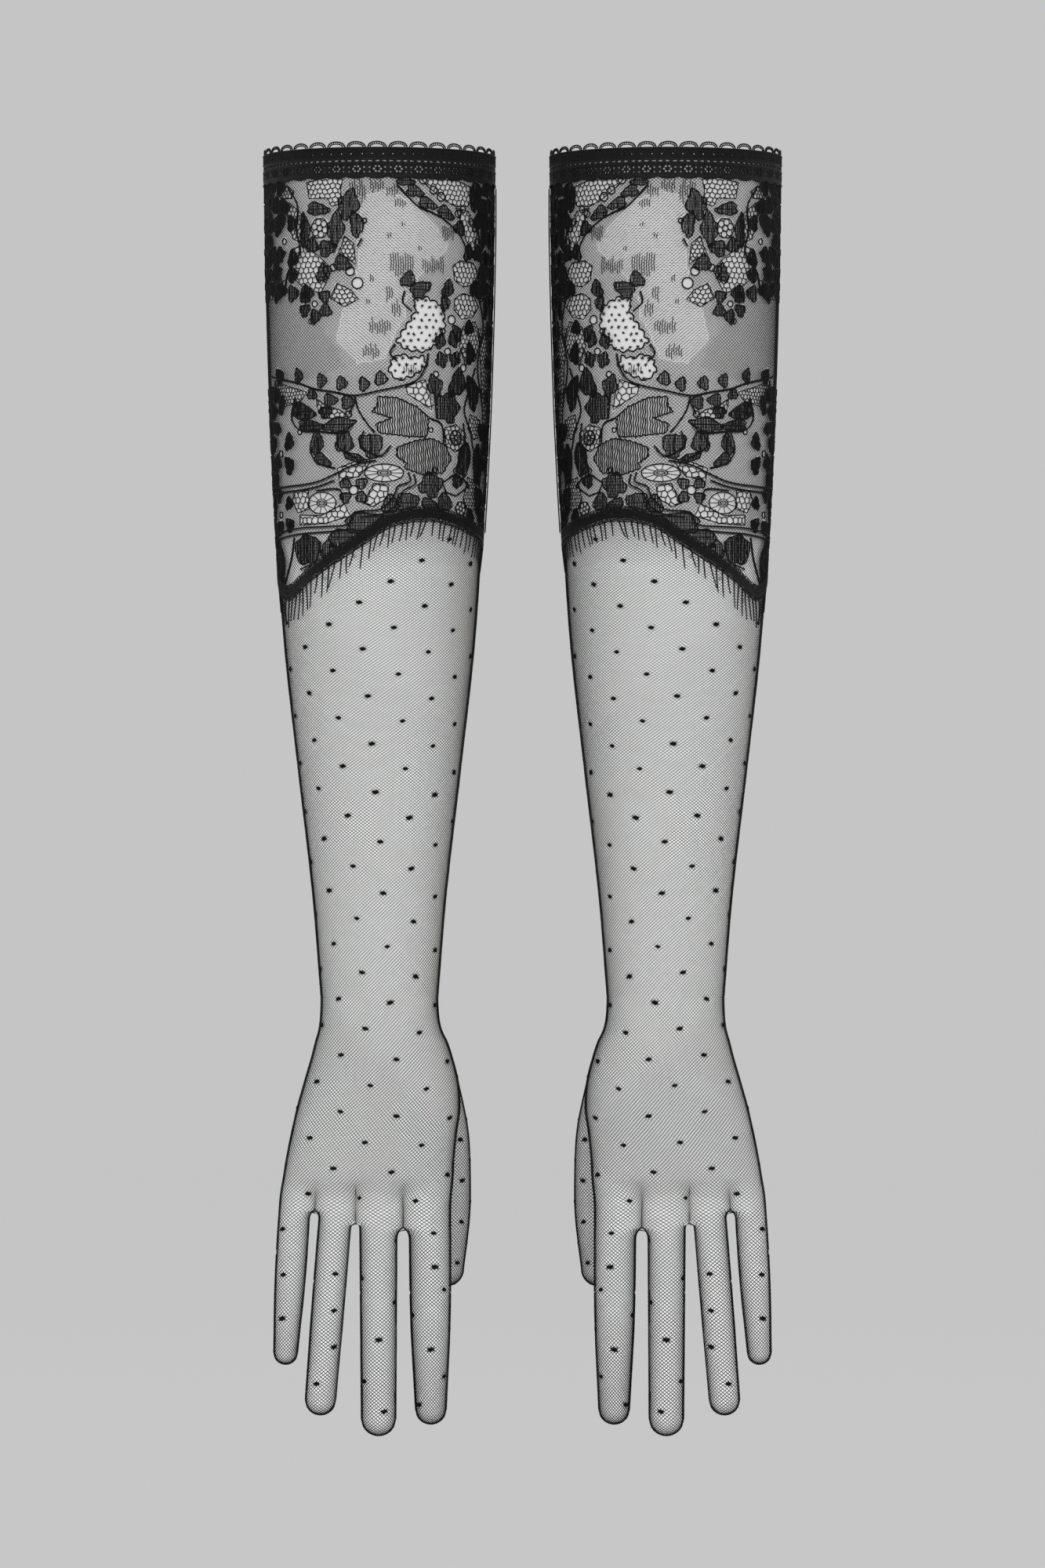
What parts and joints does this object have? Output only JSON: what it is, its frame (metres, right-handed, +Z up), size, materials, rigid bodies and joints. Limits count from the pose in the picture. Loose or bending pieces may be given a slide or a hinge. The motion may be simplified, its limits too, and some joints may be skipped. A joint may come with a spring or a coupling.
{
  "type": "opera gloves",
  "caption": "Pair of sheer long gloves: lace cuff on a picot-edged elastic band, eyelash-fringed scalloped border, dotted net sleeve and hand with jointed finger stalls.",
  "frame": {"origin": "midway between the two gloves, level with the top edge of their elastic bands", "axes": "+Z up towards the cuffs, the fingers hang towards -Z; -Y is the side of the backs of the hands; +X towards the left-hand glove"},
  "size_m": [0.2248, 0.0962, 0.5578],
  "materials": {
    "net": "sheer black diamond net with small tufted dots",
    "lace": "black corded lace with flowers, leaves and an open ground",
    "lace_cord": "thick black lace cord and loose fringe threads",
    "band_elastic": "dense black lace elastic with eyelets and picot loops",
    "seam_thread": "narrow black overlocked seam"
  },
  "bodies": {
    "sleeves": {"right_picot_edging": "band_elastic", "right_elastic_band": "band_elastic", "right_lace_cuff": "lace", "right_cuff_seam_tape": "seam_thread", "right_scallop_border": "lace_cord", "right_eyelash_fringe": "lace_cord", "right_sleeve_back_panel": "net", "right_sleeve_palm_panel": "net", "right_thumb_side_seam": "seam_thread", "right_little_side_seam": "seam_thread", "left_picot_edging": "band_elastic", "left_elastic_band": "band_elastic", "left_lace_cuff": "lace", "left_cuff_seam_tape": "seam_thread", "left_scallop_border": "lace_cord", "left_eyelash_fringe": "lace_cord", "left_sleeve_back_panel": "net", "left_sleeve_palm_panel": "net", "left_thumb_side_seam": "seam_thread", "left_little_side_seam": "seam_thread"},
    "right_wrist": {"right_wrist_net": "net"},
    "right_hand": {"right_hand_back_panel": "net", "right_hand_palm_panel": "net"},
    "right_thumb": {"right_thumb_stall": "net"},
    "right_index": {"right_index_stall": "net"},
    "right_middle": {"right_middle_stall": "net"},
    "right_ring": {"right_ring_stall": "net"},
    "right_little": {"right_little_stall": "net"},
    "left_wrist": {"left_wrist_net": "net"},
    "left_hand": {"left_hand_back_panel": "net", "left_hand_palm_panel": "net"},
    "left_thumb": {"left_thumb_stall": "net"},
    "left_index": {"left_index_stall": "net"},
    "left_middle": {"left_middle_stall": "net"},
    "left_ring": {"left_ring_stall": "net"},
    "left_little": {"left_little_stall": "net"}
  },
  "joints": [
    {"name": "right_wrist_flexion", "type": "hinge", "parent": "sleeves", "child": "right_wrist", "pos_m": [-0.06205, 0.02015, -0.352], "axis": [1, 0, 0], "range_deg": [0, 70]},
    {"name": "right_wrist_extension", "type": "hinge", "parent": "right_wrist", "child": "right_hand", "pos_m": [-0.06205, -0.0183, -0.376], "axis": [1, 0, 0], "range_deg": [-60, 0]},
    {"name": "right_thumb_lift", "type": "hinge", "parent": "right_hand", "child": "right_thumb", "pos_m": [-0.03305, 0.0342, -0.425], "axis": [1, 0, 0], "range_deg": [0, 40]},
    {"name": "right_index_bend", "type": "hinge", "parent": "right_hand", "child": "right_index", "pos_m": [-0.03995, 0.0095, -0.501], "axis": [1, 0, 0], "range_deg": [0, 90]},
    {"name": "right_middle_bend", "type": "hinge", "parent": "right_hand", "child": "right_middle", "pos_m": [-0.06255, 0.0086, -0.501], "axis": [1, 0, 0], "range_deg": [0, 90]},
    {"name": "right_ring_bend", "type": "hinge", "parent": "right_hand", "child": "right_ring", "pos_m": [-0.08425, 0.00785, -0.496], "axis": [1, 0, 0], "range_deg": [0, 90]},
    {"name": "right_little_bend", "type": "hinge", "parent": "right_hand", "child": "right_little", "pos_m": [-0.10065, 0.00745, -0.484], "axis": [1, 0, 0], "range_deg": [0, 90]},
    {"name": "left_wrist_flexion", "type": "hinge", "parent": "sleeves", "child": "left_wrist", "pos_m": [0.06205, 0.02015, -0.352], "axis": [1, 0, 0], "range_deg": [0, 70]},
    {"name": "left_wrist_extension", "type": "hinge", "parent": "left_wrist", "child": "left_hand", "pos_m": [0.06205, -0.0183, -0.376], "axis": [1, 0, 0], "range_deg": [-60, 0]},
    {"name": "left_thumb_lift", "type": "hinge", "parent": "left_hand", "child": "left_thumb", "pos_m": [0.03305, 0.0342, -0.425], "axis": [1, 0, 0], "range_deg": [0, 40]},
    {"name": "left_index_bend", "type": "hinge", "parent": "left_hand", "child": "left_index", "pos_m": [0.03995, 0.0095, -0.501], "axis": [1, 0, 0], "range_deg": [0, 90]},
    {"name": "left_middle_bend", "type": "hinge", "parent": "left_hand", "child": "left_middle", "pos_m": [0.06255, 0.0086, -0.501], "axis": [1, 0, 0], "range_deg": [0, 90]},
    {"name": "left_ring_bend", "type": "hinge", "parent": "left_hand", "child": "left_ring", "pos_m": [0.08425, 0.00785, -0.496], "axis": [1, 0, 0], "range_deg": [0, 90]},
    {"name": "left_little_bend", "type": "hinge", "parent": "left_hand", "child": "left_little", "pos_m": [0.10065, 0.00745, -0.484], "axis": [1, 0, 0], "range_deg": [0, 90]}
  ]
}
